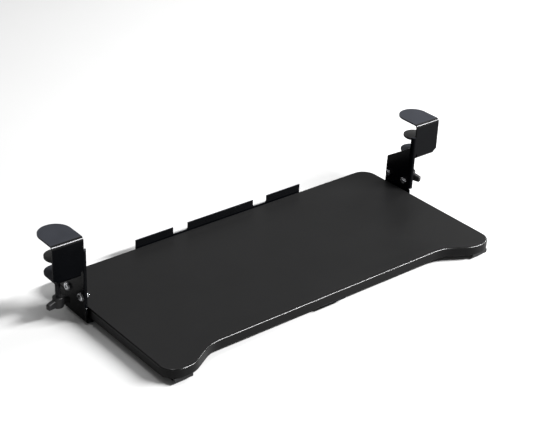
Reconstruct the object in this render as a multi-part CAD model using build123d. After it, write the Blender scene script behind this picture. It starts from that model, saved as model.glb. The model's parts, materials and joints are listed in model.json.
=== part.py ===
from build123d import *
import os
from math import cos, radians, sin

# Keyboard tray that clamps to the edge of a desk and slides out from under it.
# Millimetres. X runs along the desk edge, Y away from the user under the desk, Z up.
# The origin is midway between the clamps, where the desk's top meets its front edge.
# The tray is modelled pulled out. The right-hand hardware mirrors the left-hand hardware.

# Tray board
board_width = 625.0
board_depth = 300.0
board_thickness = 15.0
board_corner_radius = 25.0
board_top_round = 2.5
board_bottom_round = 1.0
board_drop = 116.0

# Wavy front edge: a horn at each corner, swept back to the recessed middle
front_recess = 26.0
horn_flat = 7.0
horn_radius = 42.0
recess_radius = 62.0
sweep_angle = 30.0

# Back stop: one steel angle with three upright tabs
stop_sheet = 1.5
centre_tab_width = 130.0
side_tab_width = 70.0
tab_gap = 28.0
tab_height = 13.8
stop_strip_height = 2.0
tab_root_radius = 3.0
stop_leg_width = 20.0
stop_leg_corner = 4.0
stop_screw_inset = 22.0

# Slide tracks under the board: rolled C channels, open downwards
track_width = 30.0
track_depth = 6.0
track_sheet = 1.2
track_slot = 14.0
track_inset = 11.0
track_back_inset = 8.0
track_screw_end = 24.0
track_screw_count = 4
cap_setback = 3.0
cap_thickness = 4.0
cap_overhang = 0.3
cap_corner = 1.2
cap_plug_length = 7.7
stop_screw_back_inset = 45.0

# Glide shoes on the hangers, running in the tracks
glide_length = 20.0
glide_head_thickness = 3.0
glide_side_clearance = 0.3
glide_corner = 3.0
glide_back_inset = 3.0
glide_spacing = 26.0
lip_clearance = 0.5
stop_clearance = 0.3

# Finger grip under the middle of the front edge
grip_width = 50.0
grip_depth = 34.0
grip_thickness = 2.2
grip_corner = 5.0
grip_ridge_inset = 11.0
grip_ridge_width = 5.0
grip_ridge_height = 3.0
grip_screw_spacing = 30.0
grip_screw_inset = 9.0

# Clamp bracket: one bent sheet with top flange, web, lower flange and side wing
clamp_sheet = 2.5
clamp_bend = 3.5
clamp_width = 50.0
clamp_depth = 58.5
clamp_height = 63.0
lower_flange_width = 39.0
lower_flange_depth = 50.0
lower_corner_height = 9.0
neck_height = 5.5
wing_clearance = 1.0
wing_depth = 56.5
wing_top_drop = 18.5
wing_shoulder_drop = 38.0
wing_heel_drop = 71.0
wing_foot_gap = 4.0
wing_corner = 3.0
stub_edge = 1.5
relief_corner = 1.2

# Rubber pad glued under the top flange
jaw_pad_thickness = 1.5
jaw_pad_inset = 4.0

# Hanger: bent sheet bolted outside the wing, reaching in under the track
hanger_sheet = 2.0
hanger_bend = 1.5
hanger_back_overhang = 3.0
hanger_front_inset = 1.5
hanger_toe_gap = 1.5
hanger_top_step = 10.0
hanger_overreach = 3.5
hanger_corner = 8.0
hanger_edge_corner = 2.0
hanger_bend_clearance = 0.3

# Two bolts on each side, that hold the hanger to the wing
bolt_radius = 3.0
bolt_head_radius = 5.8
bolt_head_height = 2.8
bolt_spacing = 36.0
bolt_back_inset = 8.0
bolt_height = 16.6
bolt_tip = 1.2
washer_radius = 6.2
washer_thickness = 1.2
nut_flat_radius = 5.0
nut_height = 4.0
socket_share = 0.72
socket_depth_share = 0.6
head_round_share = 0.55
bolt_clearance = 0.3

# Clamp screw, its nut, pressure pad and wing knob
screw_radius = 4.0
screw_fit = 0.05
screw_hole_clearance = 0.6
screw_setback = 30.5
screw_offset = 1.2
desk_thickness = 30.0
clamp_nut_flat_radius = 6.5
clamp_nut_height = 6.5
pad_radius = 17.0
pad_sheet = 2.0
pad_recess_radius = 7.0
pad_recess_depth = 4.0
pad_rubber_thickness = 2.0
pad_rubber_overhang = 0.8
pad_rubber_fit = 0.05
pivot_radius = 2.9
pivot_clearance = 0.1
rivet_radius = 4.8
rivet_height = 1.6
screw_end_chamfer = 0.8
knob_top_drop = 97.5
knob_height = 17.0
knob_hub_radius = 8.3
knob_hub_round = 1.5
knob_span = 38.0
knob_wing_thickness = 8.0
knob_wing_height = 9.5
knob_wing_foot = 0.4
knob_wing_round = 2.4
knob_shoulder = 4.0
knob_grip_depth = 12.0
left_knob_angle = 6.0
right_knob_angle = -72.0

# Small screws
wood_screw_radius = 1.75
wood_screw_length = 10.0
wood_screw_head_radius = 3.0
pan_head_radius = 3.6
pan_head_height = 2.4
stop_head_height = 2.9
pilot_clearance = 0.05
pilot_depth_over = 1.0
glide_screw_radius = 2.0
glide_screw_length = 5.5
glide_screw_spacing = 10.0
glide_screw_hole = 0.2

overrun = 5.0

# Places worked out from the sizes above
edge_x = board_width / 2
board_top = -board_drop
board_bottom = board_top - board_thickness

track_x = edge_x - track_inset - track_width / 2
track_bottom = board_bottom - track_depth
channel_top = board_bottom - track_sheet
channel_floor = track_bottom + track_sheet

wing_x = edge_x + wing_clearance
wing_outer_x = wing_x + clamp_sheet
bend_outer = clamp_bend + clamp_sheet
web_inner_x = wing_x + bend_outer
web_outer_x = web_inner_x + clamp_width
clamp_x = web_inner_x + clamp_width / 2
web_front = -clamp_sheet
flange_underside = jaw_pad_thickness
flange_top = flange_underside + clamp_sheet
web_bottom = flange_top - clamp_height
lower_flange_top = web_bottom + clamp_sheet
lower_corner_top = web_bottom + lower_corner_height
neck_top = web_bottom + neck_height
lower_flange_x = clamp_x - lower_flange_width / 2
stub_x = web_inner_x + stub_edge
wing_back = web_front + wing_depth
wing_bend_back = web_front + bend_outer
wing_top = -wing_top_drop
wing_shoulder = -wing_shoulder_drop
wing_heel = -wing_heel_drop
wing_foot = board_top + wing_foot_gap

hanger_outer_x = wing_outer_x + hanger_sheet
hanger_floor_top = track_bottom - lip_clearance
hanger_floor = hanger_floor_top - hanger_sheet
hanger_inner_x = track_x - track_width / 2 - hanger_overreach
hanger_back = wing_back + hanger_back_overhang
hanger_front = web_front + hanger_front_inset
hanger_toe_top = wing_foot - hanger_toe_gap
hanger_neck_front = wing_bend_back + hanger_bend_clearance
hanger_nose = wing_shoulder - hanger_top_step
hanger_heel = wing_heel - hanger_top_step

bolt_z = board_top + bolt_height
bolt_back_y = wing_back - bolt_back_inset
bolt_front_y = bolt_back_y - bolt_spacing

glide_head_bottom = channel_floor + (channel_top - channel_floor - glide_head_thickness) / 2
glide_head_top = glide_head_bottom + glide_head_thickness
rear_glide_back = hanger_back - glide_back_inset
glide_backs = {"rear": rear_glide_back, "front": rear_glide_back - glide_spacing}
stop_screw_y = rear_glide_back + stop_clearance + pan_head_radius

board_back = stop_screw_y + stop_screw_back_inset
board_front = board_back - board_depth
middle_front = board_front + front_recess
cap_front = board_front + cap_setback
track_front = cap_front + cap_thickness
track_back = board_back - track_back_inset
cap_plug_back = track_front + cap_plug_length

screw_x = clamp_x + screw_offset
screw_y = web_front + screw_setback
pad_top = -desk_thickness
pad_rubber_bottom = pad_top - pad_rubber_thickness
pad_rim_bottom = pad_rubber_bottom - pad_sheet
pad_pan_top = pad_rubber_bottom - pad_recess_depth
pad_pan_bottom = pad_pan_top - pad_sheet
screw_shoulder = pad_pan_bottom - pivot_clearance
knob_top = -knob_top_drop
knob_bottom = knob_top - knob_height
screw_end = knob_top - knob_grip_depth


def block(x0, x1, y0, y1, z0, z1):
    """A box between two corners."""
    centre = ((x0 + x1) / 2, (y0 + y1) / 2, (z0 + z1) / 2)
    return Pos(*centre) * Box(abs(x1 - x0), abs(y1 - y0), abs(z1 - z0))


def prism_x(face, x0, x1):
    """A face drawn in Y and Z, drawn out along X."""
    return Pos(x0, 0, 0) * extrude(Plane.YZ * face, amount=x1 - x0)


def prism_y(face, y0, y1):
    """A face drawn in X and Z, drawn out along Y."""
    return Pos(0, y1, 0) * extrude(Plane.XZ * face, amount=y1 - y0)


def prism_z(face, z0, z1):
    """A face drawn in X and Y, drawn out along Z."""
    return Pos(0, 0, z0) * extrude(face, amount=z1 - z0)


def polygon(*points):
    return make_face(Polyline(*points, close=True))


def soften(face, radius, *places):
    """Round the corners of a face that lie nearest to the given places."""
    corners = [min(face.vertices(), key=lambda v: (Vector(v.X, v.Y) - Vector(*place)).length)
               for place in places]
    return fillet(corners, radius)


def upright(x, y, z0, z1, radius):
    """A round bar along Z."""
    return Pos(x, y, (z0 + z1) / 2) * Cylinder(radius, abs(z1 - z0))


def level(x0, x1, y, z, radius):
    """A round bar along X."""
    return Pos((x0 + x1) / 2, y, z) * Rot(0, 90, 0) * Cylinder(radius, abs(x1 - x0))


def hexagon_x(x0, x1, y, z, flat_radius):
    """A hexagonal bar along X."""
    face = Pos(y, z) * RegularPolygon(flat_radius, 6, major_radius=False)
    return prism_x(face, x0, x1)


def mirrored(shape):
    return mirror(shape, about=Plane.YZ)


def group(shapes):
    return Compound(children=[shape for shape in shapes])


def front_outline():
    """Half of the board in plan, with the corner horn and the swept front edge."""
    turn = radians(sweep_angle)
    rise = (horn_radius + recess_radius) * (1 - cos(turn))
    straight = (front_recess - rise) / sin(turn)
    corner = board_corner_radius
    horn_start = (edge_x - corner - horn_flat, board_front)
    back = Line((0, board_back), (edge_x - corner, board_back))
    back_corner = JernArc(back @ 1, (1, 0), corner, -90)
    side = Line(back_corner @ 1, (edge_x, board_front + corner))
    front_corner = JernArc(side @ 1, (0, -1), corner, -90)
    flat = Line(front_corner @ 1, horn_start)
    horn = JernArc(flat @ 1, (-1, 0), horn_radius, -sweep_angle)
    sweep_end = horn @ 1 + Vector(-cos(turn), sin(turn)) * straight
    slope = Line(horn @ 1, sweep_end)
    hollow = JernArc(slope @ 1, (-cos(turn), sin(turn)), recess_radius, sweep_angle)
    middle = Line(hollow @ 1, (0, middle_front))
    centre = Line(middle @ 1, (0, board_back))
    return make_face([back, back_corner, side, front_corner, flat, horn, slope, hollow,
                      middle, centre])


def pilot(x, y, depth, radius=wood_screw_radius):
    """The hole that a screw from below leaves in the board."""
    top = board_bottom + depth + pilot_depth_over
    return upright(x, y, board_bottom - overrun, top, radius + pilot_clearance)


def track_screw_places():
    first = track_front + track_screw_end
    step = (track_back - track_screw_end - first) / (track_screw_count - 1)
    return [(side * track_x, first + step * index)
            for side in (-1, 1) for index in range(track_screw_count)]


def stop_screw_places():
    """Where a pan head in each track halts the rear glide."""
    return [(side * track_x, stop_screw_y) for side in (-1, 1)]


def back_stop_screw_places():
    half = centre_tab_width / 2 + tab_gap + side_tab_width
    outer = half - stop_screw_inset
    return [(x, board_back - stop_leg_width / 2) for x in (-outer, -outer / 3, outer / 3, outer)]


def grip_screw_places():
    y = middle_front + grip_depth - grip_screw_inset
    return [(side * grip_screw_spacing / 2, y) for side in (-1, 1)]


def tray_board():
    half = front_outline()
    board = prism_z(half + mirrored(half), board_bottom, board_top)
    board = fillet(board.edges().group_by(Axis.Z)[-1], board_top_round)
    board = fillet(board.edges().group_by(Axis.Z)[0], board_bottom_round)
    places = (track_screw_places() + stop_screw_places() + back_stop_screw_places()
              + grip_screw_places())
    for x, y in places:
        board -= pilot(x, y, wood_screw_length)
    return board


def back_stop():
    """The angle behind the board, cut to three tabs with rounded roots."""
    half = centre_tab_width / 2 + tab_gap + side_tab_width
    strip_top = board_top + stop_strip_height
    tab_top = board_top + tab_height
    leg_bottom = board_bottom - stop_sheet
    inner = centre_tab_width / 2
    gap_end = inner + tab_gap
    face = polygon((0, leg_bottom), (half, leg_bottom), (half, tab_top), (gap_end, tab_top),
                   (gap_end, strip_top), (inner, strip_top), (inner, tab_top), (0, tab_top))
    face = soften(face, tab_root_radius, (gap_end, strip_top), (inner, strip_top))
    plate = prism_y(face + mirrored(face), board_back, board_back + stop_sheet)
    leg_front = board_back - stop_leg_width
    leg = polygon((-half, leg_front), (half, leg_front), (half, board_back + stop_sheet),
                  (-half, board_back + stop_sheet))
    leg = soften(leg, stop_leg_corner, (-half, leg_front), (half, leg_front))
    part = plate + prism_z(leg, leg_bottom, board_bottom)
    for x, y in back_stop_screw_places():
        part -= upright(x, y, leg_bottom - overrun, board_bottom + overrun / 2,
                        wood_screw_radius + bolt_clearance)
    return part


def pan_screw(x, y, seat, head_height=pan_head_height):
    """A pan-head screw driven up into the board from the face it seats on."""
    shank_top = board_bottom + wood_screw_length
    head = upright(x, y, seat - head_height, seat, pan_head_radius)
    head = fillet(head.edges().group_by(Axis.Z)[0], head_height * head_round_share)
    return head + upright(x, y, seat, shank_top, wood_screw_radius)


def countersunk_screw(x, y):
    """A flat-head screw whose head lies flush in the track."""
    shank_top = board_bottom + wood_screw_length
    head = Pos(x, y, (channel_top + board_bottom) / 2) * Cone(
        wood_screw_head_radius, wood_screw_radius, track_sheet)
    return head + upright(x, y, board_bottom, shank_top, wood_screw_radius)


def track():
    """The C channel, with countersinks for its screws."""
    half = track_width / 2
    slot = track_slot / 2
    face = polygon((-half, track_bottom), (half, track_bottom), (half, board_bottom),
                   (-half, board_bottom))
    face = soften(face, track_sheet, (-half, track_bottom), (half, track_bottom))
    hollow = polygon((track_sheet - half, channel_floor), (half - track_sheet, channel_floor),
                     (half - track_sheet, channel_top), (track_sheet - half, channel_top))
    mouth = polygon((-slot, track_bottom - overrun), (slot, track_bottom - overrun),
                    (slot, channel_top), (-slot, channel_top))
    part = Pos(track_x, 0, 0) * prism_y(face - hollow - mouth, track_front, track_back)
    for x, y in track_screw_places():
        if x > 0:
            part -= Pos(x, y, (channel_top + board_bottom) / 2) * Cone(
                wood_screw_head_radius + pilot_clearance, wood_screw_radius + pilot_clearance,
                track_sheet)
    for x, y in stop_screw_places():
        if x > 0:
            part -= upright(x, y, channel_top - overrun, board_bottom + overrun,
                            wood_screw_radius + pilot_clearance)
    return part


def track_cap():
    """The moulded cap over the track's front end, with a plug that halts the front glide."""
    half = track_width / 2 + cap_overhang
    bottom = track_bottom - cap_overhang
    face = polygon((-half, bottom), (half, bottom), (half, board_bottom), (-half, board_bottom))
    face = soften(face, cap_corner, (-half, bottom), (half, bottom))
    plug_half = track_width / 2 - track_sheet - glide_side_clearance
    plug = block(-plug_half, plug_half, track_front, cap_plug_back, glide_head_bottom,
                 glide_head_top)
    return Pos(track_x, 0, 0) * (prism_y(face, cap_front, track_front) + plug)


def front_grip():
    """A thin plate under the front edge with a ridge for the fingers."""
    half = grip_width / 2
    back = middle_front + grip_depth
    bottom = board_bottom - grip_thickness
    face = polygon((-half, middle_front), (half, middle_front), (half, back), (-half, back))
    face = soften(face, grip_corner, (-half, back), (half, back))
    face = soften(face, grip_thickness, (-half, middle_front), (half, middle_front))
    ridge_front = middle_front + grip_ridge_inset
    ridge = block(grip_corner - half, half - grip_corner, ridge_front,
                  ridge_front + grip_ridge_width, bottom - grip_ridge_height, bottom)
    ridge = fillet(ridge.edges().filter_by(Axis.X).group_by(Axis.Z)[0],
                   grip_ridge_width * head_round_share / 2)
    part = prism_z(face, bottom, board_bottom) + ridge
    for x, y in grip_screw_places():
        part -= upright(x, y, bottom - overrun, board_bottom + overrun,
                        wood_screw_radius + bolt_clearance)
    return part


def flange_outline(width, depth):
    """A tongue in plan, ending in a half circle or in rounded corners."""
    half = width / 2
    back = web_front + depth
    straight = back - half
    shape = polygon((clamp_x - half, web_front), (clamp_x + half, web_front),
                    (clamp_x + half, straight), (clamp_x - half, straight))
    return shape + Pos(clamp_x, straight) * Circle(half)


def clamp_bracket():
    """Top flange, web and lower flange from one channel, with the side wing bent back."""
    deep = web_front + clamp_depth
    outer = polygon((web_front, web_bottom), (deep, web_bottom), (deep, flange_top),
                    (web_front, flange_top))
    outer = soften(outer, bend_outer, (web_front, web_bottom), (web_front, flange_top))
    inner = polygon((0, lower_flange_top), (deep + overrun, lower_flange_top),
                    (deep + overrun, flange_underside), (0, flange_underside))
    inner = soften(inner, clamp_bend, (0, lower_flange_top), (0, flange_underside))
    channel = prism_x(outer - inner, web_inner_x, web_outer_x)
    middle = (flange_top + web_bottom) / 2
    top_half = channel & prism_z(flange_outline(clamp_width, clamp_depth), middle,
                                 flange_top + overrun)
    lower_half = channel & prism_z(
        flange_outline(lower_flange_width, lower_flange_depth)
        + polygon((web_inner_x, web_front), (web_outer_x, web_front), (web_outer_x, 0),
                  (web_inner_x, 0)), web_bottom - overrun, middle)
    far_x = clamp_x + lower_flange_width / 2
    front = polygon((web_inner_x, middle), (web_inner_x, lower_corner_top),
                    (lower_flange_x, lower_corner_top), (lower_flange_x, web_bottom - overrun),
                    (far_x, web_bottom - overrun), (far_x, neck_top),
                    (web_outer_x, lower_corner_top), (web_outer_x, middle))
    front = soften(front, relief_corner, (lower_flange_x, lower_corner_top))
    lower_half = lower_half & prism_y(front, web_front - overrun, deep)

    corner = polygon((wing_x, web_front), (stub_x, web_front), (stub_x, 0), (wing_outer_x, 0),
                     (wing_outer_x, wing_back), (wing_x, wing_back))
    corner = soften(corner, bend_outer, (wing_x, web_front))
    corner = soften(corner, clamp_bend, (wing_outer_x, 0))
    side = polygon((web_front, wing_foot), (web_front, wing_top), (wing_bend_back, wing_top),
                   (wing_bend_back, wing_shoulder), (wing_back, wing_heel),
                   (wing_back, wing_foot))
    side = soften(side, wing_corner, (wing_bend_back, wing_shoulder), (wing_back, wing_heel),
                  (wing_back, wing_foot))
    wing = prism_z(corner, wing_foot, wing_top) & prism_x(side, wing_x, stub_x)

    part = top_half + lower_half + wing
    part -= upright(screw_x, screw_y, web_bottom - overrun, lower_flange_top + overrun,
                    screw_radius + screw_hole_clearance)
    for y in (bolt_back_y, bolt_front_y):
        part -= level(wing_x - overrun, wing_outer_x + overrun, y, bolt_z,
                      bolt_radius + bolt_clearance)
    return part


def jaw_pad():
    """The rubber that protects the desk's top."""
    inset = 2 * jaw_pad_inset
    width = clamp_width - inset
    straight = web_front + clamp_depth - clamp_width / 2
    front = clamp_bend + jaw_pad_inset
    half = width / 2
    face = polygon((clamp_x - half, front), (clamp_x + half, front), (clamp_x + half, straight),
                   (clamp_x - half, straight))
    face = face + Pos(clamp_x, straight) * Circle(half)
    return prism_z(face, 0, flange_underside)


def glide_screw_places(back):
    centre = back - glide_length / 2
    half = glide_screw_spacing / 2
    return [(track_x, centre - half), (track_x, centre + half)]


def hanger():
    """The plate outside the wing, bent in under the track to carry the glides."""
    bend_out = hanger_bend + hanger_sheet
    section = polygon((hanger_inner_x, hanger_floor), (hanger_outer_x, hanger_floor),
                      (hanger_outer_x, hanger_nose), (wing_outer_x, hanger_nose),
                      (wing_outer_x, hanger_floor_top), (hanger_inner_x, hanger_floor_top))
    section = soften(section, bend_out, (hanger_outer_x, hanger_floor))
    section = soften(section, hanger_bend, (wing_outer_x, hanger_floor_top))
    part = prism_y(section, hanger_front, hanger_back)
    side = polygon((hanger_front, hanger_floor - overrun), (hanger_front, hanger_toe_top),
                   (hanger_neck_front, hanger_toe_top), (hanger_neck_front, hanger_nose),
                   (hanger_back, hanger_heel), (hanger_back, hanger_floor - overrun))
    side = soften(side, hanger_edge_corner, (hanger_neck_front, hanger_nose),
                  (hanger_back, hanger_heel), (hanger_front, hanger_toe_top))
    part = part & prism_x(side, hanger_inner_x - overrun, hanger_outer_x + overrun)
    plan = polygon((hanger_inner_x, hanger_front), (hanger_outer_x, hanger_front),
                   (hanger_outer_x, hanger_back), (hanger_inner_x, hanger_back))
    plan = soften(plan, hanger_corner, (hanger_inner_x, hanger_front),
                  (hanger_inner_x, hanger_back))
    part = part & prism_z(plan, hanger_floor - overrun, hanger_nose + overrun)
    for y in (bolt_back_y, bolt_front_y):
        part -= level(wing_x - overrun, hanger_outer_x + overrun, y, bolt_z,
                      bolt_radius + bolt_clearance)
    for back in glide_backs.values():
        for x, y in glide_screw_places(back):
            part -= upright(x, y, hanger_floor - overrun, hanger_floor_top + overrun,
                            glide_screw_radius + glide_screw_hole)
    return part


def glide(back):
    """A T-shaped nylon shoe: its head fills the channel, its neck passes the lips."""
    front = back - glide_length
    head_half = track_width / 2 - track_sheet - glide_side_clearance
    neck_half = track_slot / 2 - glide_side_clearance
    head = polygon((track_x - head_half, front), (track_x + head_half, front),
                   (track_x + head_half, back), (track_x - head_half, back))
    head = fillet(head.vertices(), glide_corner)
    neck = block(track_x - neck_half, track_x + neck_half, front, back, hanger_floor_top,
                 glide_head_bottom)
    part = prism_z(head, glide_head_bottom, glide_head_top) + neck
    for x, y in glide_screw_places(back):
        part -= upright(x, y, hanger_floor_top - overrun,
                        hanger_floor + glide_screw_length + pilot_clearance,
                        glide_screw_radius + pilot_clearance)
    return part


def glide_screws():
    """Pan heads under the hanger, threaded up into the glides."""
    screws = []
    for back in glide_backs.values():
        for x, y in glide_screw_places(back):
            head = upright(x, y, hanger_floor - pan_head_height, hanger_floor, pan_head_radius)
            head = fillet(head.edges().group_by(Axis.Z)[0], pan_head_height * head_round_share)
            shank = upright(x, y, hanger_floor, hanger_floor + glide_screw_length,
                            glide_screw_radius)
            screws.append(head + shank)
    return screws


def hanger_bolt(y):
    """A button head with a hexagon socket outside, its end just past the nut inside."""
    seat = hanger_outer_x + washer_thickness
    crown = seat + bolt_head_height
    head = level(seat, crown, y, bolt_z, bolt_head_radius)
    head = fillet(head.edges().group_by(Axis.X)[-1], bolt_head_height * head_round_share)
    head -= hexagon_x(crown - bolt_head_height * socket_depth_share, crown + overrun, y, bolt_z,
                      bolt_radius * socket_share)
    return head + level(wing_x - nut_height - bolt_tip, seat, y, bolt_z, bolt_radius)


def hanger_washer(y):
    washer = level(hanger_outer_x, hanger_outer_x + washer_thickness, y, bolt_z, washer_radius)
    return washer - level(hanger_outer_x - overrun, hanger_outer_x + overrun, y, bolt_z,
                          bolt_radius + pilot_clearance)


def hanger_nut(y):
    nut = hexagon_x(wing_x - nut_height, wing_x, y, bolt_z, nut_flat_radius)
    return nut - level(wing_x - nut_height - overrun, wing_x + overrun, y, bolt_z,
                       bolt_radius + pilot_clearance)


def clamp_nut():
    """The nut welded under the lower flange."""
    bottom = web_bottom - clamp_nut_height
    face = Pos(screw_x, screw_y) * RegularPolygon(clamp_nut_flat_radius, 6, major_radius=False)
    return prism_z(face, bottom, web_bottom) - upright(
        screw_x, screw_y, bottom - overrun, web_bottom + overrun, screw_radius + screw_fit)


def turned(profile):
    """A profile of radius and height, spun about the clamp screw's axis."""
    face = make_face(Polyline(*profile, close=True))
    return Pos(screw_x, screw_y, 0) * revolve(Plane.XZ * face, Axis.Z)


def pressure_pad():
    """A stamped cup: a flat rim round a sunk pan that the screw's pivot goes through."""
    hole = pivot_radius + pivot_clearance
    wall = pad_recess_radius + pad_sheet
    return turned([(hole, pad_pan_bottom), (wall, pad_pan_bottom), (wall, pad_rim_bottom),
                   (pad_radius, pad_rim_bottom), (pad_radius, pad_rubber_bottom),
                   (pad_recess_radius, pad_rubber_bottom), (pad_recess_radius, pad_pan_top),
                   (hole, pad_pan_top)])


def pad_rubber():
    """The rubber face, with a lip that laps over the cup's rim."""
    lip = pad_radius + pad_rubber_overhang
    lap = pad_rubber_bottom - pad_sheet / 2
    rim = pad_radius + pad_rubber_fit
    return turned([(0, pad_rubber_bottom), (rim, pad_rubber_bottom), (rim, lap), (lip, lap),
                   (lip, pad_top), (0, pad_top)])


def clamp_screw():
    """The threaded rod, stepped down to a pivot that is riveted over inside the pad."""
    rivet_bottom = pad_pan_top + pivot_clearance
    return turned([(0, screw_end), (screw_radius - screw_end_chamfer, screw_end),
                   (screw_radius, screw_end + screw_end_chamfer),
                   (screw_radius, screw_shoulder), (pivot_radius, screw_shoulder),
                   (pivot_radius, rivet_bottom), (rivet_radius, rivet_bottom),
                   (pivot_radius, rivet_bottom + rivet_height),
                   (0, rivet_bottom + rivet_height)])


def clamp_knob(angle):
    """A moulded wing knob: a round hub with two wings that droop from its shoulders."""
    hub = upright(0, 0, knob_bottom, knob_top, knob_hub_radius)
    hub = fillet(hub.edges(), knob_hub_round)
    tip = knob_span / 2
    foot = knob_bottom + knob_wing_foot
    wing_top_z = foot + knob_wing_height
    shoulder = knob_top - knob_shoulder
    face = polygon((-tip, foot), (tip, foot), (tip, wing_top_z), (knob_hub_radius, shoulder),
                   (-knob_hub_radius, shoulder), (-tip, wing_top_z))
    face = soften(face, knob_wing_round, (-tip, foot), (tip, foot), (tip, wing_top_z),
                  (-tip, wing_top_z))
    half = knob_wing_thickness / 2
    wings = prism_y(face, -half, half)
    ends = [edge for edge in wings.edges() if edge.center().Z > foot - half
            and edge.bounding_box().size.Y < half]
    wings = fillet(ends, knob_wing_round)
    body = hub + wings
    body -= upright(0, 0, screw_end, knob_top + overrun, screw_radius + screw_fit)
    return Rot(0, 0, angle) * body


def left_and_right(name, shape):
    """Save a right-hand piece and its mirror image."""
    export_step(shape, f"parts/right_{name}.step")
    export_step(mirrored(shape), f"parts/left_{name}.step")


def save():
    os.makedirs("parts", exist_ok=True)
    export_step(tray_board(), "parts/tray_board.step")
    export_step(back_stop(), "parts/back_stop.step")
    leg_bottom = board_bottom - stop_sheet
    export_step(group(pan_screw(x, y, leg_bottom) for x, y in back_stop_screw_places()),
                "parts/back_stop_screws.step")
    export_step(group(countersunk_screw(x, y) for x, y in track_screw_places()),
                "parts/track_screws.step")
    export_step(group(pan_screw(x, y, channel_top, stop_head_height)
                      for x, y in stop_screw_places()), "parts/track_stop_screws.step")
    export_step(front_grip(), "parts/front_grip.step")
    grip_bottom = board_bottom - grip_thickness
    export_step(group(pan_screw(x, y, grip_bottom) for x, y in grip_screw_places()),
                "parts/front_grip_screws.step")
    left_and_right("track", track())
    left_and_right("track_cap", track_cap())
    left_and_right("clamp_bracket", clamp_bracket())
    left_and_right("jaw_pad", jaw_pad())
    left_and_right("hanger", hanger())
    bolt_places = (bolt_back_y, bolt_front_y)
    left_and_right("hanger_bolts", group(hanger_bolt(y) for y in bolt_places))
    left_and_right("hanger_washers", group(hanger_washer(y) for y in bolt_places))
    left_and_right("hanger_nuts", group(hanger_nut(y) for y in bolt_places))
    for name, back in glide_backs.items():
        left_and_right(f"{name}_glide", glide(back))
    left_and_right("glide_screws", group(glide_screws()))
    left_and_right("clamp_nut", clamp_nut())
    left_and_right("pressure_pad", pressure_pad())
    left_and_right("pad_rubber", pad_rubber())
    left_and_right("clamp_screw", clamp_screw())
    for side, angle in (("left", left_knob_angle), ("right", right_knob_angle)):
        x = screw_x if side == "right" else -screw_x
        export_step(Pos(x, screw_y, 0) * clamp_knob(angle), f"parts/{side}_clamp_knob.step")


save()
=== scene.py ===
import json
from math import cos, pi, radians, sin

import bmesh
import bpy
from mathutils import Matrix, Vector


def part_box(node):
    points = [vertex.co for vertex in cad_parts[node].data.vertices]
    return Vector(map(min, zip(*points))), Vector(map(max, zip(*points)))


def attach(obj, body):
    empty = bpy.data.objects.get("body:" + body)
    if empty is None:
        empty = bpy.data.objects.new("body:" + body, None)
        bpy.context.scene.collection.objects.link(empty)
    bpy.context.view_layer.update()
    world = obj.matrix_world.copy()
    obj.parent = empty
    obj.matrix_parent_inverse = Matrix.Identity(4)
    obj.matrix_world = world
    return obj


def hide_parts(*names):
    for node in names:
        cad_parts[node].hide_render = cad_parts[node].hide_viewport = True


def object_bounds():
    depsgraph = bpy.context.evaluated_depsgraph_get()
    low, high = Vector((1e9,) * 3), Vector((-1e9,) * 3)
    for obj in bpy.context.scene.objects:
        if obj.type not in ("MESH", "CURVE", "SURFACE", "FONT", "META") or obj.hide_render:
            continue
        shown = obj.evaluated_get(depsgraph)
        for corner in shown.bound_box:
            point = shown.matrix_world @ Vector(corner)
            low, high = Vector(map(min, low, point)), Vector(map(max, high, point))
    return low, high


# A keyboard tray that clamps to the edge of a desk: the tray board, its steelwork, the clamps
# and their screws. Metres, with X along the desk's edge, Y away from the user and Z up. The
# profiles of turned shapes, and the sizes of threads, nuts and screws, are in millimetres.

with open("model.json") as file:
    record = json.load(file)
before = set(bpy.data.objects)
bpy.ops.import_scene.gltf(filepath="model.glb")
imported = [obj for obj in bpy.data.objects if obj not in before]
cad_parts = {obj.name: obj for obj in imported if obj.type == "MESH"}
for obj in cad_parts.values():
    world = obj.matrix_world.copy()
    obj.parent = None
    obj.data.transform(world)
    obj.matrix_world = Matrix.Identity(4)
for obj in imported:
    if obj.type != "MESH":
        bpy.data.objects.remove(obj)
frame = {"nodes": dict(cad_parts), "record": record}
cad_box = [[float(c) for c in corner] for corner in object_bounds()]

MM = 0.001
SIDES = ("left", "right")
ORIGIN = (0.0, 0.0, 0.0)
UPRIGHT = (0.0, 0.0, 1.0)
SAME_CORNER = 0.004 * MM
SHARP_FROM = radians(38)


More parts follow.
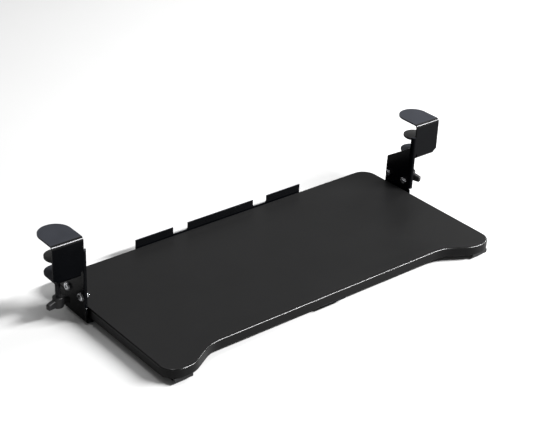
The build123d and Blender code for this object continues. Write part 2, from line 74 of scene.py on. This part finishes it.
class Finish:
    """A finish for one kind of surface, laid on the piece's own coordinates."""

    def __init__(self, name, metallic=0.0, gloss=0.5):
        self.material = bpy.data.materials.new(name)
        self.material.use_nodes = True
        self.tree = self.material.node_tree
        self.shader = self.tree.nodes["Principled BSDF"]
        self.shader.inputs["Metallic"].default_value = metallic
        self.shader.inputs["Specular IOR Level"].default_value = gloss
        self.place = self.node("ShaderNodeTexCoord").outputs["Object"]
        self.relief = None

    def node(self, kind, **settings):
        made = self.tree.nodes.new(kind)
        for key, value in settings.items():
            setattr(made, key, value)
        return made

    def link(self, source, target):
        self.tree.links.new(source, target)

    def feed(self, source, target):
        """Sets the target to a plain value, or links it to another node."""
        if isinstance(source, (float, tuple)):
            target.default_value = source
        else:
            self.link(source, target)

    def drawn_out(self, scale):
        """The piece's coordinates, stretched along the axes whose scale is small."""
        mapping = self.node("ShaderNodeMapping")
        mapping.inputs["Scale"].default_value = scale
        self.link(self.place, mapping.inputs["Vector"])
        return mapping.outputs["Vector"]

    def mottle(self, scale, detail=4.0, harshness=0.55, place=None):
        """Soft irregular patches."""
        noise = self.node("ShaderNodeTexNoise")
        noise.inputs["Scale"].default_value = scale
        noise.inputs["Detail"].default_value = detail
        noise.inputs["Roughness"].default_value = harshness
        self.link(place or self.place, noise.inputs["Vector"])
        return noise.outputs["Fac"]

    def pebbles(self, scale):
        """Rounded cells, as on an embossed film or a spark-eroded mould."""
        cells = self.node("ShaderNodeTexVoronoi", feature="SMOOTH_F1")
        cells.inputs["Scale"].default_value = scale
        cells.inputs["Smoothness"].default_value = 0.6
        self.link(self.place, cells.inputs["Vector"])
        return cells.outputs["Distance"]

    def ribs(self, scale, waver):
        """Even waves across Y, a little out of true."""
        wave = self.node("ShaderNodeTexWave", bands_direction="Y")
        wave.inputs["Scale"].default_value = scale
        wave.inputs["Distortion"].default_value = waver
        self.link(self.place, wave.inputs["Vector"])
        return wave.outputs["Fac"]

    def between(self, source, start, end, low=0.0, high=1.0):
        """The source's run from start to end, put between low and high."""
        spread = self.node("ShaderNodeMapRange", interpolation_type="SMOOTHSTEP")
        for key, value in (("From Min", start), ("From Max", end),
                           ("To Min", low), ("To Max", high)):
            spread.inputs[key].default_value = value
        self.link(source, spread.inputs["Value"])
        return spread.outputs["Result"]

    def worked_out(self, operation, first, second):
        result = self.node("ShaderNodeMath", operation=operation, use_clamp=True)
        self.feed(first, result.inputs[0])
        self.feed(second, result.inputs[1])
        return result.outputs["Value"]

    def times(self, first, second):
        return self.worked_out("MULTIPLY", first, second)

    def plus(self, first, second):
        return self.worked_out("ADD", first, second)

    def rounded(self, radius):
        """The surface's direction with its sharp edges rounded off."""
        bevel = self.node("ShaderNodeBevel", samples=6)
        bevel.inputs["Radius"].default_value = radius
        return bevel.outputs["Normal"]

    def facing(self, way):
        """How squarely the surface faces a way, from one to minus one."""
        square = self.node("ShaderNodeVectorMath", operation="DOT_PRODUCT")
        self.link(self.node("ShaderNodeNewGeometry").outputs["Normal"], square.inputs[0])
        self.feed(way, square.inputs[1])
        return square.outputs["Value"]

    def edges(self, radius, start, end):
        """Where the surface turns a corner: one on the edge, nothing on the flats."""
        return self.between(self.facing(self.rounded(radius)), start, end)

    def painted_hollow_shade(self, reach):
        """Painted shade: one down in the recesses, where light is shut out, nothing in the
        open.
        """
        shade = self.node("ShaderNodeAmbientOcclusion", samples=8, only_local=True)
        shade.inputs["Distance"].default_value = reach
        return self.between(shade.outputs["AO"], 0.75, 0.25)

    def colour(self, share, first, second):
        """Goes by the share from the first colour, or from what lies below, to the second."""
        mix = self.node("ShaderNodeMix", data_type="RGBA")
        self.link(share, mix.inputs["Factor"])
        self.feed((*first, 1.0) if isinstance(first, tuple) else first, mix.inputs["A"])
        mix.inputs["B"].default_value = (*second, 1.0)
        self.link(mix.outputs["Result"], self.shader.inputs["Base Color"])
        return mix.outputs["Result"]

    def metal(self, share):
        self.link(share, self.shader.inputs["Metallic"])

    def roughness(self, source):
        self.link(source, self.shader.inputs["Roughness"])

    def ease(self, radius):
        """Eases every sharp edge, as the coating over it does."""
        self.relief = self.rounded(radius)
        self.link(self.relief, self.shader.inputs["Normal"])

    def emboss(self, height, depth, strength):
        """Raises the surface by the height, on top of what is there."""
        bump = self.node("ShaderNodeBump")
        bump.inputs["Distance"].default_value = depth
        bump.inputs["Strength"].default_value = strength
        self.link(height, bump.inputs["Height"])
        if self.relief is not None:
            self.link(self.relief, bump.inputs["Normal"])
        self.relief = bump.outputs["Normal"]
        self.link(self.relief, self.shader.inputs["Normal"])


def board_film():
    """Matt black film on the board: fine embossing, faint cloudiness, a top painted lighter as
    if lit from above, painted sheen where it goes round the edges, and rubbed wear there,
    partly a painted highlight."""
    film = Finish("black_film", gloss=0.09)
    clouds = film.mottle(7.0, 5.0, 0.6)
    grain = film.pebbles(1500.0)
    fibres = film.mottle(45.0, 6.0, 0.7, film.drawn_out((1.0, 7.0, 7.0)))
    upward = film.facing(UPRIGHT)
    # Painted top light: faces that look up are made lighter, with faint cloudiness, as if lit
    # from above.
    painted_top_light = film.times(film.between(upward, 0.4, 0.9),
                        film.between(clouds, 0.3, 0.7, 0.84, 1.0))
    # Painted sheen: round the edges the film is made metallic and lighter, so the lamp's
    # highlight along them reads stronger.
    edge_painted_sheen = film.times(film.between(upward, 0.05, 0.3), film.between(upward, 0.995, 0.95))
    # Rubbed wear along the edges, partly a painted highlight.
    rubbed_and_painted_highlight = film.times(film.edges(1.6 * MM, 0.99, 0.88),
                        film.between(film.mottle(120.0, 5.0, 0.7), 0.45, 0.75))
    base = film.colour(film.between(clouds, 0.3, 0.7),
                       (0.0010, 0.0010, 0.0011), (0.0016, 0.0016, 0.0017))
    base = film.colour(painted_top_light, base, (0.0045, 0.0045, 0.0046))
    base = film.colour(film.times(film.between(fibres, 0.6, 0.85), 0.15), base,
                       (0.0125, 0.0125, 0.0128))
    base = film.colour(edge_painted_sheen, base, (0.0190, 0.0190, 0.0192))
    film.colour(film.times(rubbed_and_painted_highlight, 0.3), base, (0.035, 0.034, 0.032))
    film.metal(edge_painted_sheen)
    matt = film.between(film.mottle(16.0, 7.0, 0.7), 0.2, 0.8, 0.36, 0.42)
    film.roughness(film.times(matt, film.between(edge_painted_sheen, 0.0, 1.0, 1.0, 0.58)))
    film.emboss(clouds, 0.1 * MM, 0.2)
    film.emboss(film.times(grain, film.between(edge_painted_sheen, 0.0, 1.0, 1.0, 0.1)), 0.016 * MM, 0.4)
    return film.material


def powder_coat(name="black_powder_coat", chips=0.5, run_in=0.0):
    """Black powder coat on sheet steel: orange peel, painted sheen over the bends, settled
    dust with painted top light on the upward faces, small chips along the cut edges and, where
    something runs on it, polished lines."""
    coat = Finish(name, gloss=0.04)
    clouds = coat.mottle(22.0, 5.0, 0.6)
    peel = coat.mottle(700.0, 2.0, 0.45)
    speckle = coat.pebbles(2600.0)
    upward = coat.facing(UPRIGHT)
    # Painted sheen: over the bends the coat is made metallic and lighter, so the lamp's
    # highlight along them reads stronger.
    bend_painted_sheen = coat.times(coat.between(upward, 0.1, 0.35), coat.between(upward, 0.99, 0.93))
    # Settled dust, and painted top light: upward faces made lighter and bluer as if lit from
    # above.
    dust_and_painted_top_light = coat.times(coat.between(upward, 0.75, 0.99),
                       coat.between(coat.mottle(35.0, 6.0, 0.65), 0.2, 0.8, 0.8, 1.0))
    worn = coat.times(coat.edges(0.7 * MM, 0.985, 0.85),
                      coat.between(coat.mottle(260.0, 5.0, 0.75), 0.54, 0.68))
    base = coat.colour(coat.between(clouds, 0.3, 0.7),
                       (0.0003, 0.0004, 0.0006), (0.0006, 0.0007, 0.0010))
    base = coat.colour(dust_and_painted_top_light, base, (0.0160, 0.0170, 0.0205))
    base = coat.colour(bend_painted_sheen, base, (0.0150, 0.0150, 0.0154))
    if run_in:
        lines = coat.mottle(500.0, 4.0, 0.7, coat.drawn_out((1.0, 0.004, 1.0)))
        base = coat.colour(coat.times(coat.between(lines, 0.5, 0.72), run_in), base,
                           (0.026, 0.026, 0.027))
    coat.colour(coat.times(worn, chips), base, (0.11, 0.11, 0.115))
    coat.metal(bend_painted_sheen)
    matt = coat.between(coat.mottle(140.0, 6.0, 0.6), 0.25, 0.8, 0.22, 0.24)
    coat.roughness(coat.plus(matt, coat.times(dust_and_painted_top_light, 0.12)))
    coat.ease(0.35 * MM)
    coat.emboss(peel, 0.012 * MM, 0.4)
    coat.emboss(speckle, 0.006 * MM, 0.3)
    return coat.material


def zinc_plate():
    """Bright zinc on the bolts, washers, nuts and screws, with drawn marks, dull patches and
    painted shade in the recesses."""
    zinc = Finish("bright_zinc", metallic=1.0)
    drawn = zinc.mottle(240.0, 5.0, 0.7, zinc.drawn_out((1.0, 6.0, 1.0)))
    dull = zinc.mottle(420.0, 5.0, 0.65)
    base = zinc.colour(zinc.between(drawn, 0.3, 0.7), (0.36, 0.37, 0.385), (0.52, 0.52, 0.535))
    base = zinc.colour(zinc.times(zinc.between(dull, 0.55, 0.75), 0.5), base,
                       (0.26, 0.26, 0.25))
    base = zinc.colour(zinc.times(zinc.edges(0.4 * MM, 0.98, 0.85), 0.5), base,
                       (0.75, 0.75, 0.75))
    # Painted shade: darkened down in the recesses, where little light reaches.
    zinc.colour(zinc.times(zinc.painted_hollow_shade(1.6 * MM), 0.9), base, (0.03, 0.028, 0.026))
    zinc.roughness(zinc.between(dull, 0.3, 0.75, 0.12, 0.24))
    zinc.ease(0.15 * MM)
    zinc.emboss(drawn, 0.01 * MM, 0.4)
    return zinc.material


def oiled_oxide():
    """Black oxide on the clamp screws, oiled, with bright thread crests and painted shade down
    in the thread roots.
    """
    oxide = Finish("oiled_black_oxide", metallic=1.0)
    film = oxide.mottle(160.0, 5.0, 0.65)
    fine = oxide.mottle(1600.0, 3.0, 0.6)
    base = oxide.colour(oxide.between(film, 0.3, 0.7),
                        (0.013, 0.013, 0.015), (0.026, 0.0255, 0.027))
    base = oxide.colour(oxide.times(oxide.edges(0.2 * MM, 0.97, 0.8), 0.4), base,
                        (0.14, 0.14, 0.147))
    # Painted shade: darkened down in the thread roots, where little light reaches.
    oxide.colour(oxide.times(oxide.painted_hollow_shade(0.8 * MM), 0.7), base, (0.006, 0.0055, 0.005))
    oxide.roughness(oxide.between(film, 0.25, 0.75, 0.28, 0.45))
    oxide.emboss(fine, 0.008 * MM, 0.5)
    return oxide.material


def moulded_plastic():
    """Black moulded plastic with a spark-eroded surface and polished corners."""
    plastic = Finish("moulded_plastic", gloss=0.2)
    eroded = plastic.pebbles(2200.0)
    clouds = plastic.mottle(90.0, 5.0, 0.6)
    base = plastic.colour(plastic.between(clouds, 0.3, 0.7),
                          (0.0040, 0.0040, 0.0043), (0.0060, 0.0060, 0.0063))
    plastic.colour(plastic.times(plastic.edges(1.0 * MM, 0.99, 0.85), 0.4), base,
                   (0.018, 0.018, 0.0185))
    plastic.roughness(plastic.between(clouds, 0.25, 0.8, 0.36, 0.52))
    plastic.ease(0.3 * MM)
    plastic.emboss(clouds, 0.03 * MM, 0.2)
    plastic.emboss(eroded, 0.014 * MM, 0.5)
    return plastic.material


def greased_nylon():
    """Dark nylon glides, polished by running in the tracks."""
    nylon = Finish("greased_nylon")
    flow = nylon.mottle(180.0, 5.0, 0.6, nylon.drawn_out((1.0, 0.2, 1.0)))
    fine = nylon.mottle(1400.0, 2.0, 0.5)
    nylon.colour(nylon.between(flow, 0.3, 0.7), (0.018, 0.018, 0.0185), (0.030, 0.030, 0.0305))
    nylon.roughness(nylon.between(flow, 0.25, 0.75, 0.26, 0.44))
    nylon.emboss(flow, 0.02 * MM, 0.3)
    nylon.emboss(fine, 0.006 * MM, 0.4)
    return nylon.material


def ribbed_rubber():
    """Matt black rubber with moulded ribs and a dusty bloom."""
    rubber = Finish("ribbed_rubber", gloss=0.2)
    bloom = rubber.mottle(130.0, 6.0, 0.7)
    fine = rubber.mottle(2400.0, 2.0, 0.5)
    rubber.colour(rubber.between(bloom, 0.35, 0.75),
                  (0.0065, 0.0065, 0.0068), (0.015, 0.0147, 0.0145))
    rubber.roughness(rubber.between(bloom, 0.25, 0.8, 0.66, 0.86))
    rubber.emboss(rubber.ribs(700.0 / pi, 0.2), 0.2 * MM, 0.5)
    rubber.emboss(fine, 0.015 * MM, 0.6)
    return rubber.material


FINISHES = {
    "black_film_board": board_film(),
    "black_steel": powder_coat(),
    "zinc_steel": zinc_plate(),
    "black_oxide": oiled_oxide(),
    "black_plastic": moulded_plastic(),
    "nylon": greased_nylon(),
    "rubber": ribbed_rubber(),
}


def dress(piece, finish):
    """Puts one finish on all of the piece."""
    piece.data.materials.clear()
    piece.data.materials.append(finish)


for part in frame["record"]["subparts"]:
    dress(frame["nodes"][part["node"]], FINISHES[part["material_slot"]])
track_coat = powder_coat("track_powder_coat", chips=0.6, run_in=0.5)
for side in SIDES:
    dress(frame["nodes"][f"{side}_track"], track_coat)


def middle_of(node):
    low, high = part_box(node)
    return (low + high) / 2


def spread(low, high, count):
    """Even places from low to high, both ends with them."""
    return [low + (high - low) * index / (count - 1) for index in range(count)]


def turn(degrees, axis):
    return Matrix.Rotation(radians(degrees), 3, axis)


def put(shape, place, turning=Matrix.Identity(3)):
    """Turns all of a shape and sets it in its place."""
    bmesh.ops.rotate(shape, verts=shape.verts, cent=ORIGIN, matrix=turning)
    bmesh.ops.translate(shape, verts=shape.verts, vec=place)


def of_kind(kind, items):
    return [item for item in items if isinstance(item, kind)]


def make_piece(name, shapes, slot, body, node):
    """Brings shapes together as one piece with its finish, which rides on a body and stands
    for a node."""
    whole = bmesh.new()
    for shape in shapes:
        bmesh.ops.remove_doubles(shape, verts=shape.verts, dist=SAME_CORNER)
        bmesh.ops.recalc_face_normals(shape, faces=shape.faces)
        mesh = bpy.data.meshes.new("shape")
        shape.to_mesh(mesh)
        shape.free()
        whole.from_mesh(mesh)
        bpy.data.meshes.remove(mesh)
    for edge in whole.edges:
        edge.smooth = len(edge.link_faces) == 2 and edge.calc_face_angle(0.0) < SHARP_FROM
    for face in whole.faces:
        face.smooth = True
    piece = bpy.data.objects.new(name, bpy.data.meshes.new(name))
    whole.to_mesh(piece.data)
    whole.free()
    bpy.context.scene.collection.objects.link(piece)
    dress(piece, FINISHES[slot])
    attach(piece, body)
    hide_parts(node)


def drawn(shape, profile, closed):
    """Draws a profile of radius and height as corners and the lines that join them."""
    points = [shape.verts.new((radius * MM, 0.0, height * MM)) for radius, height in profile]
    ends = points[1:] + points[:1] if closed else points[1:]
    return points, [shape.edges.new(pair) for pair in zip(points, ends)]


def turned(profile, steps=32, closed=False):
    """A shape turned about the upright axis."""
    shape = bmesh.new()
    points, lines = drawn(shape, profile, closed)
    bmesh.ops.spin(shape, geom=points + lines, axis=UPRIGHT, cent=ORIGIN,
                   angle=radians(360), steps=steps, use_merge=True)
    bmesh.ops.remove_doubles(shape, verts=shape.verts, dist=SAME_CORNER)
    return shape


def thread(bottom, top, root, crest, pitch, steps=20):
    """A thread's ridge, wound up the upright axis and run out at both ends."""
    shape = bmesh.new()
    foot, flat = 0.42 * pitch, pitch / 16
    start, lines = drawn(shape, ((root, bottom - foot), (crest, bottom - flat),
                                 (crest, bottom + flat), (root, bottom + foot)), True)
    count = round((top - bottom) / pitch * steps)
    wound = bmesh.ops.spin(shape, geom=start + lines, axis=UPRIGHT, cent=ORIGIN,
                           dvec=(0.0, 0.0, pitch / steps * MM),
                           angle=radians(360.0 * count / steps), steps=count)
    for ring in (start, of_kind(bmesh.types.BMVert, wound["geom_last"])):
        middle = sum((vert.co for vert in ring), Vector()) / len(ring)
        middle.xy = middle.xy.normalized() * root * MM
        bmesh.ops.pointmerge(shape, verts=ring, merge_co=middle)
    return shape


def clamp_rod(side):
    """The threaded rod of a clamp, with the pivot and rivet that hold the pressure pad."""
    core, neck, rivet, crest, pitch = 3.4, 2.9, 4.8, 4.0, 1.25
    low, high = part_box(f"{side}_clamp_screw")
    centre = middle_of(f"{side}_clamp_screw")
    end, tip = low.z / MM, high.z / MM
    rod = turned(((0, end), (neck, end), (core, end + 0.5), (core, tip - 4.0),
                  (neck, tip - 3.8), (neck, tip - 1.6), (rivet - 0.3, tip - 1.6),
                  (rivet, tip - 1.3), (rivet - 0.3, tip - 0.8), (core, tip - 0.2),
                  (1.6, tip), (0, tip)))
    ridge = thread(end + 1.0, tip - 4.6, core - 0.1, crest, pitch)
    for shape in (rod, ridge):
        put(shape, (centre.x, centre.y, 0.0))
    make_piece(f"{side}_threaded_rod", (rod, ridge), "black_oxide", f"{side}_screw",
               f"{side}_clamp_screw")


def hexagon_nut(flat, height, bore):
    """A nut standing on the ground plane: a turned blank with six flats milled on it, each as
    far from the axis as flat says."""
    face, bevel, lead_in = flat * 0.95, 0.06, bore + 0.6
    corner = flat / cos(radians(30))
    drop = (corner - flat) * 0.6
    nut = turned(((bore, 0.5), (lead_in, 0), (face, 0), (flat, bevel), (corner, drop),
                  (corner, height - drop), (flat, height - bevel), (face, height),
                  (lead_in, height), (bore, height - 0.5)), steps=48, closed=True)
    for step in range(6):
        out = Vector((cos(radians(60 * step)), sin(radians(60 * step)), 0.0))
        milled = bmesh.ops.bisect_plane(
            nut, geom=[*nut.verts, *nut.edges, *nut.faces], dist=0.0001 * MM,
            clear_outer=True, plane_co=out * flat * MM, plane_no=out)
        bmesh.ops.holes_fill(nut, edges=of_kind(bmesh.types.BMEdge, milled["geom_cut"]))
    return nut


def hanger_nuts(side):
    """The nuts inside a wing, with the threads of the bolt ends that stand out of them."""
    corner = 5.774 * MM
    low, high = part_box(f"{side}_hanger_nuts")
    seat, way = (high.x, -90) if side == "right" else (low.x, 90)
    shapes = []
    for y in (low.y + corner, high.y - corner):
        nut = hexagon_nut(flat=5.0, height=4.0, bore=3.05)
        ridge = thread(bottom=3.4, top=4.75, root=2.9, crest=3.2, pitch=1.0)
        for shape in (nut, ridge):
            put(shape, (seat, y, (low.z + high.z) / 2), turn(way, "Y"))
            shapes.append(shape)
    make_piece(f"{side}_chamfered_nuts", shapes, "zinc_steel", "clamps", f"{side}_hanger_nuts")


def weld_ripple(swell, away, along, top):
    """One ripple of a weld bead, a flattened ball that leans with the bead's run, cut level
    at the top, where the flange is."""
    radius, flattened, leaning = 1.3, 0.72, 14
    ripple = bmesh.new()
    bmesh.ops.create_uvsphere(ripple, u_segments=14, v_segments=10, radius=radius * MM)
    bmesh.ops.scale(ripple, verts=ripple.verts, vec=(1.0, flattened, swell))
    put(ripple, (away * MM, along * MM, top * MM), turn(leaning, "Z"))
    bmesh.ops.bisect_plane(ripple, geom=[*ripple.verts, *ripple.edges, *ripple.faces],
                           plane_co=(0.0, 0.0, top * MM), plane_no=UPRIGHT, clear_outer=True)
    bmesh.ops.holes_fill(ripple, edges=[edge for edge in ripple.edges if edge.is_boundary])
    return ripple


def welded_nut(side):
    """The nut under the lower flange, with a rippled weld bead along three of its flats."""
    flat, height, ripples, pitch = 6.5, 6.5, 8, 0.86
    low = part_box(f"{side}_clamp_nut")[0]
    centre = middle_of(f"{side}_clamp_nut")
    shapes = [hexagon_nut(flat, height, bore=4.05)]
    for bead in range(3):
        for step in range(ripples):
            ripple = weld_ripple(swell=0.96 + 0.05 * sin(2.3 * step), away=flat + 0.05,
                                 along=(step - (ripples - 1) / 2) * pitch, top=height)
            put(ripple, ORIGIN, turn(120 * bead, "Z"))
            shapes.append(ripple)
    for shape in shapes:
        put(shape, (centre.x, centre.y, low.z), turn(30, "Z"))
    make_piece(f"{side}_welded_nut", shapes, "black_steel", "clamps", f"{side}_clamp_nut")


def cross_recess(head, reach, depth):
    """Closes the open top of a screw head and sinks a cross recess in it, smaller at its
    floor."""
    arm_width, floor_size = 0.8, 0.6
    rim = [edge for edge in head.edges if edge.is_boundary]
    top = max(vert.co.z for edge in rim for vert in edge.verts)
    cross = bmesh.ops.create_grid(head, x_segments=3, y_segments=3, size=reach * MM)["verts"]
    for vert in cross:
        vert.co.x *= 1.0 if abs(vert.co.x) > 0.5 * reach * MM else arm_width
        vert.co.y *= 1.0 if abs(vert.co.y) > 0.5 * reach * MM else arm_width
        vert.co.z = top
    tiles = {face for vert in cross for face in vert.link_faces}
    middles = {face: face.calc_center_median() for face in tiles}
    corners = [face for face, middle in middles.items()
               if min(abs(middle.x), abs(middle.y)) > 0.3 * reach * MM]
    bmesh.ops.delete(head, geom=corners, context="FACES")
    tiles = [face for face in tiles if face.is_valid]
    lip = [edge for edge in {edge for face in tiles for edge in face.edges}
           if edge.is_boundary]
    bmesh.ops.triangle_fill(head, use_beauty=True, edges=rim + lip, normal=UPRIGHT)
    sunk = bmesh.ops.extrude_face_region(head, geom=tiles)["geom"]
    floor = of_kind(bmesh.types.BMVert, sunk)
    bmesh.ops.delete(head, geom=[face for face in tiles if face.is_valid],
                     context="FACES_ONLY")
    bmesh.ops.translate(head, verts=floor, vec=(0.0, 0.0, -depth * MM))
    bmesh.ops.scale(head, verts=floor, vec=(floor_size, floor_size, 1.0))


PAN_HEAD_RADIUS = 3.6
FLAT_HEAD_RADIUS = 3.0
WOOD_SCREW_SHANK = 1.75


def pan_head(height):
    head = turned(((0, -0.1), (3.4, -0.1), (PAN_HEAD_RADIUS, 0.1),
                   (PAN_HEAD_RADIUS, 0.42 * height), (3.45, 0.64 * height),
                   (3.05, 0.84 * height), (2.5, 0.96 * height), (2.25, height)))
    cross_recess(head, reach=1.95, depth=0.7 * height)
    return head


def flat_head(height):
    head = turned(((0, -2.2), (WOOD_SCREW_SHANK, -2.2), (WOOD_SCREW_SHANK, -height),
                   (FLAT_HEAD_RADIUS, -0.12), (FLAT_HEAD_RADIUS, -0.04), (2.92, 0),
                   (1.95, 0)))
    cross_recess(head, reach=1.8, depth=1.3 * height)
    return head


def driven_screws(node, body, places, seat, make_head, height, shank, length):
    """Screws driven upwards at the places, their heads below the seat, each stopped at
    another turn."""
    first_turn, next_turn = 17, 71
    shapes = []
    for index, (x, y) in enumerate(places):
        screw = turned(((0, -length), (0.5, -length), (shank, -length + 1.2),
                        (shank, -0.2), (0, -0.2)), steps=20)
        for shape in (make_head(height), screw):
            put(shape, (x, y, seat),
                turn(180, "X") @ turn(first_turn + next_turn * index, "Z"))
            shapes.append(shape)
    make_piece(f"{node}_cross_recess", shapes, "zinc_steel", body, node)


def tray_screws():
    """The screws that hold the steelwork under the board and stop the tracks."""
    radius = PAN_HEAD_RADIUS * MM
    for node, count, height, length in (("front_grip_screws", 2, 2.4, 12.2),
                                        ("back_stop_screws", 4, 2.4, 11.5),
                                        ("track_stop_screws", 2, 2.9, 11.2)):
        low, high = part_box(node)
        middle = (low.y + high.y) / 2
        driven_screws(node, "tray",
                      [(x, middle) for x in spread(low.x + radius, high.x - radius, count)],
                      low.z + height * MM, pan_head, height, WOOD_SCREW_SHANK, length)
    radius = FLAT_HEAD_RADIUS * MM
    low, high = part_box("track_screws")
    driven_screws("track_screws", "tray",
                  [(x, y) for x in (low.x + radius, high.x - radius)
                   for y in spread(low.y + radius, high.y - radius, 4)],
                  low.z, flat_head, height=1.2, shank=WOOD_SCREW_SHANK, length=11.2)


def glide_screws(side):
    """Two screws up into each glide, their heads under the hanger."""
    apart, height = 10.0 * MM, 2.4
    low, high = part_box(f"{side}_glide_screws")
    first, last = low.y + PAN_HEAD_RADIUS * MM, high.y - PAN_HEAD_RADIUS * MM
    middle = (low.x + high.x) / 2
    driven_screws(f"{side}_glide_screws", "clamps",
                  [(middle, y) for y in (first, first + apart, last - apart, last)],
                  low.z + height * MM, pan_head, height, shank=2.0, length=5.5)


tray_screws()
for side in SIDES:
    clamp_rod(side)
    hanger_nuts(side)
    welded_nut(side)
    glide_screws(side)


def lay_floor():
    """A plain pale floor under the lowest steelwork, paler far off where less light falls."""
    reach, gap = 8.0, 0.5 * MM
    sheet = bmesh.new()
    bmesh.ops.create_grid(sheet, x_segments=1, y_segments=1, size=reach)
    bmesh.ops.translate(sheet, verts=sheet.verts, vec=(0.0, 0.0, cad_box[0][2] - gap))
    floor = bpy.data.objects.new("floor", bpy.data.meshes.new("floor"))
    sheet.to_mesh(floor.data)
    sheet.free()
    bpy.context.scene.collection.objects.link(floor)
    pale = Finish("pale_floor", gloss=0.1)
    away = pale.node("ShaderNodeVectorMath", operation="LENGTH")
    pale.link(pale.place, away.inputs[0])
    base = pale.colour(pale.mottle(3.0), (0.31, 0.31, 0.31), (0.325, 0.325, 0.325))
    pale.colour(pale.between(away.outputs["Value"], 1.3, 6.0), base, (0.9, 0.9, 0.9))
    pale.shader.inputs["Roughness"].default_value = 0.9
    dress(floor, pale.material)


def turned_to(place, right, up, back):
    """Where a camera or a light stands, and how it is turned."""
    return Matrix.Translation(place) @ Matrix((right, up, back)).transposed().to_4x4()


def set_camera():
    """Looks down on the tray from the front left, as the photograph does."""
    heading, tilt, lean = radians(39.99), radians(28.65), radians(2.42)
    forward = Vector((sin(heading) * cos(tilt), cos(heading) * cos(tilt), -sin(tilt)))
    level = Vector((cos(heading), -sin(heading), 0.0))
    upright = level.cross(forward)
    right = cos(lean) * level + sin(lean) * upright
    up = cos(lean) * upright - sin(lean) * level
    lens = bpy.data.cameras.new("camera")
    lens.sensor_fit = "HORIZONTAL"
    lens.sensor_width = 36.0
    lens.lens = 93.4
    lens.clip_end = 60.0
    camera = bpy.data.objects.new("camera", lens)
    camera.matrix_world = turned_to((-1.1851, -1.4226, 0.9489), right, up, -forward)
    bpy.context.scene.collection.objects.link(camera)
    bpy.context.scene.camera = camera


def hang_light(name, place, target, along, width, height, power):
    """A soft box at place with its width along a line, turned about that line to face the
    target."""
    light = bpy.data.lights.new(name, "AREA")
    light.shape = "RECTANGLE"
    light.size = width
    light.size_y = height
    light.energy = power
    along = Vector(along).normalized()
    back = Vector(place) - Vector(target)
    back = (back - back.dot(along) * along).normalized()
    box = bpy.data.objects.new(name, light)
    box.matrix_world = turned_to(place, along, back.cross(along), back)
    bpy.context.scene.collection.objects.link(box)


def light_studio():
    """A long strip at the front right and a short one at the side draw the bright lines along
    the bends and rounded edges, and a small box glints on the nuts, under a soft ceiling."""
    tray_middle, along_x, along_y = (0.0, -0.1, -0.1), (1.0, 0.0, 0.0), (0.0, 1.0, 0.0)
    bpy.context.scene.view_settings.view_transform = "Standard"
    world = bpy.data.worlds.new("studio")
    bpy.context.scene.world = world
    world.use_nodes = True
    sky = world.node_tree.nodes["Background"]
    sky.inputs["Color"].default_value = (1.0, 1.0, 1.0, 1.0)
    sky.inputs["Strength"].default_value = 0.42
    hang_light("strip", (1.708, -1.892, 1.72), tray_middle, (1.0, 0.16, -0.16),
               width=2.1, height=0.2, power=510.0)
    hang_light("side_strip", (2.25, 0.05, 1.0), tray_middle, along_y,
               width=1.0, height=0.3, power=55.0)
    hang_light("glint_box", (-0.5, -0.25, 1.9), (0.3, 0.0, -0.1), along_x,
               width=0.35, height=0.35, power=10.0)
    hang_light("ceiling", (-0.2, 0.9, 2.4), (0.0, 0.1, -0.1), along_x,
               width=2.4, height=1.8, power=22.0)


lay_floor()
set_camera()
light_studio()
